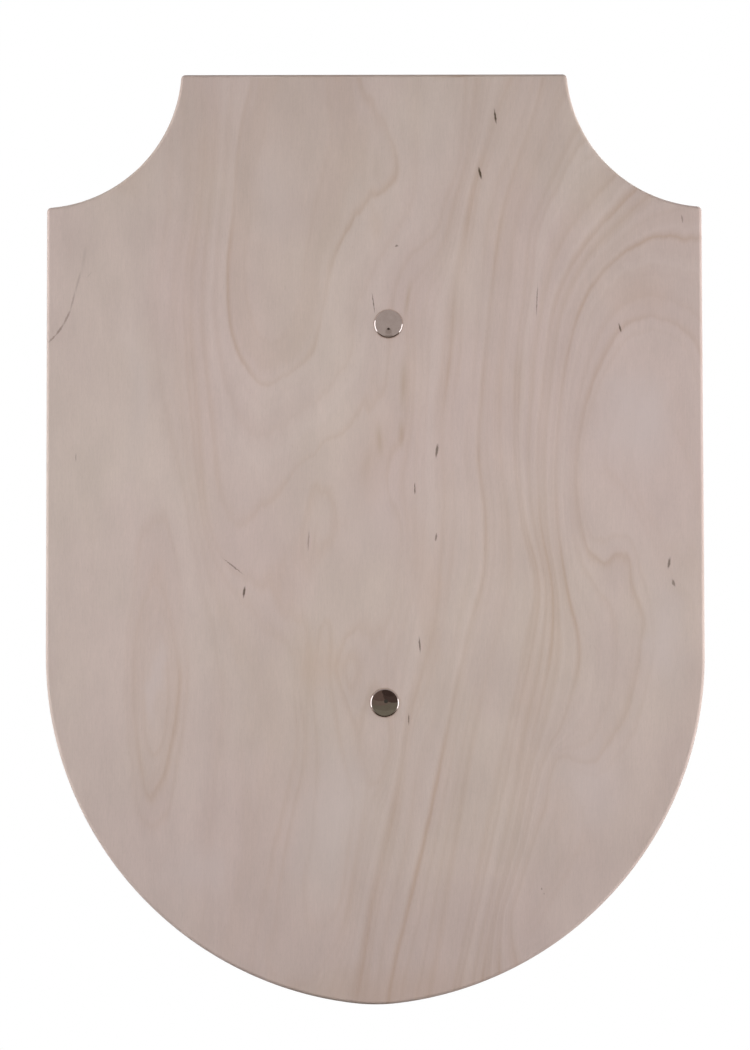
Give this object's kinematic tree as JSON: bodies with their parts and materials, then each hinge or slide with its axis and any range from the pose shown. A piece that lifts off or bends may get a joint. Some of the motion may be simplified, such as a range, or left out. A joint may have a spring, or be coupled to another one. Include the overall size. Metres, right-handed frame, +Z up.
{
  "type": "wall plaque",
  "caption": "Shield-shaped plain plywood plaque with scooped top corners, polished capped fixings and a steel keyhole bridge with rubber bumpers on its back.",
  "frame": {"origin": "wall plane, on the board's upright centreline, level with the middle of the two fixings", "axes": "+Z up along the board, +Y into the wall so the face looks along -Y, +X to the viewer's right"},
  "size_m": [0.297, 0.0196, 0.42],
  "materials": {
    "face_veneer": "bare sanded birch",
    "cross_veneer": "end grain, bare",
    "long_veneer": "long grain, bare",
    "back_veneer": "bare sanded birch",
    "bridge_steel": "zinc plated",
    "nickel": "polished nickel",
    "zinc_screw": "zinc plated",
    "zinc_washer": "zinc plated",
    "rubber": "matt",
    "adhesive_foam": "white foam tape"
  },
  "bodies": {
    "root": {"face_ply": "face_veneer", "cross_ply_front": "cross_veneer", "long_ply_front": "long_veneer", "core_ply": "cross_veneer", "long_ply_back": "long_veneer", "cross_ply_back": "cross_veneer", "back_ply": "back_veneer", "hanger_bridge": "bridge_steel", "upper_cap_nut": "nickel", "lower_cap_nut": "nickel", "upper_screw": "zinc_screw", "lower_screw": "zinc_screw", "upper_washer": "zinc_washer", "lower_washer": "zinc_washer", "left_bumper": "rubber", "right_bumper": "rubber", "left_bumper_pad": "adhesive_foam", "right_bumper_pad": "adhesive_foam"}
  },
  "joints": []
}
